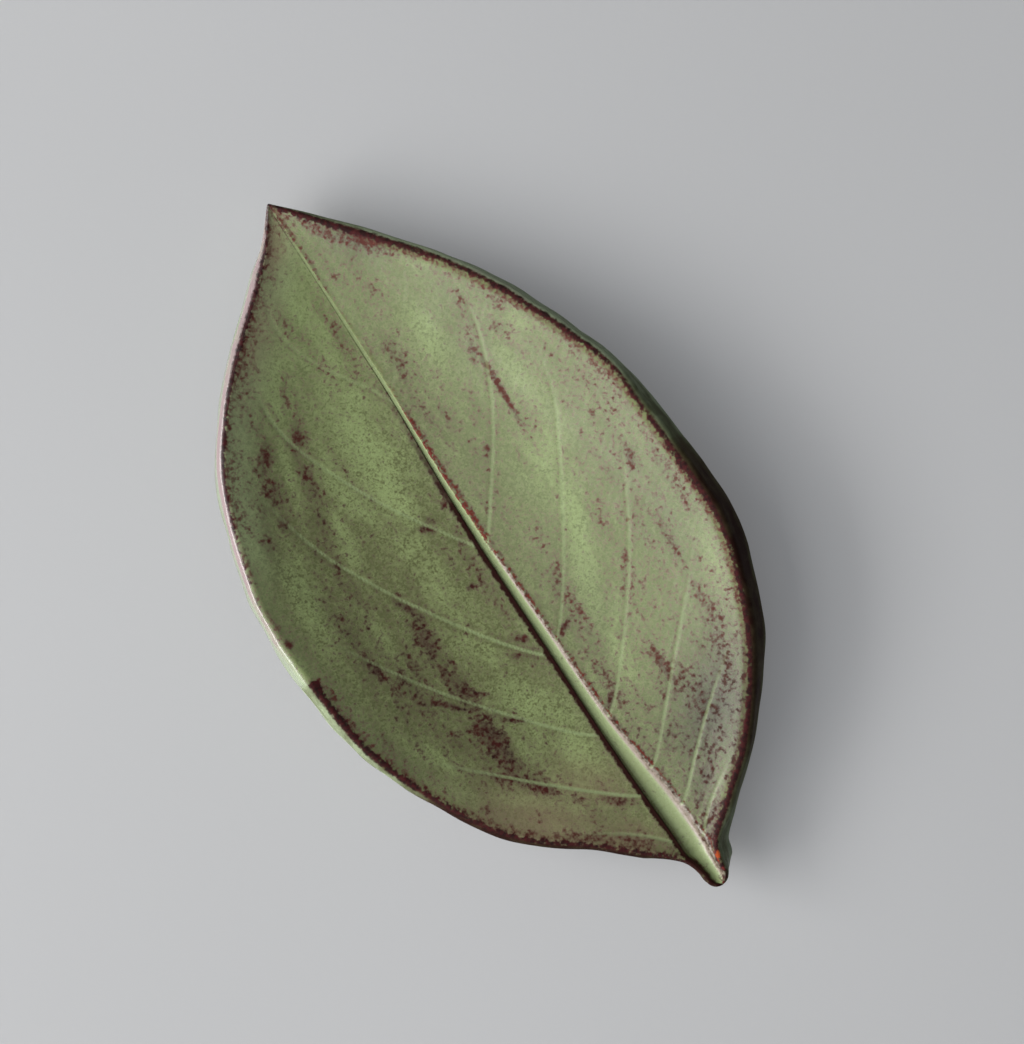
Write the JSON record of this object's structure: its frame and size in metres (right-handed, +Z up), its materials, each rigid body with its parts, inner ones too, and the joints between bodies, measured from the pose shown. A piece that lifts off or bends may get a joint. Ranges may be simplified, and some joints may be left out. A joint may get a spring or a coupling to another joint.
{
  "type": "ring dish",
  "caption": "Small leaf-shaped pottery dish for rings and trinkets, with a sunken midrib that runs out through the stem, side veins pressed into the face, and upturned edges.",
  "frame": {"origin": "under the middle of the dish's outline, on the surface that its three feet stand on", "axes": "+Y towards the leaf's tip, +X towards the leaf's right edge as seen from above with the tip away, +Z up out of the dish"},
  "size_m": [0.0788, 0.1394, 0.0161],
  "materials": {
    "bare_stoneware": "matt, unglazed, slightly gritty",
    "breaking_glaze": "glossy sage green that breaks to burgundy where it runs thin"
  },
  "bodies": {
    "root": {"clay_body": "bare_stoneware", "glaze_coat": "breaking_glaze", "left_foot": "bare_stoneware", "right_foot": "bare_stoneware", "tip_foot": "bare_stoneware"}
  },
  "joints": []
}
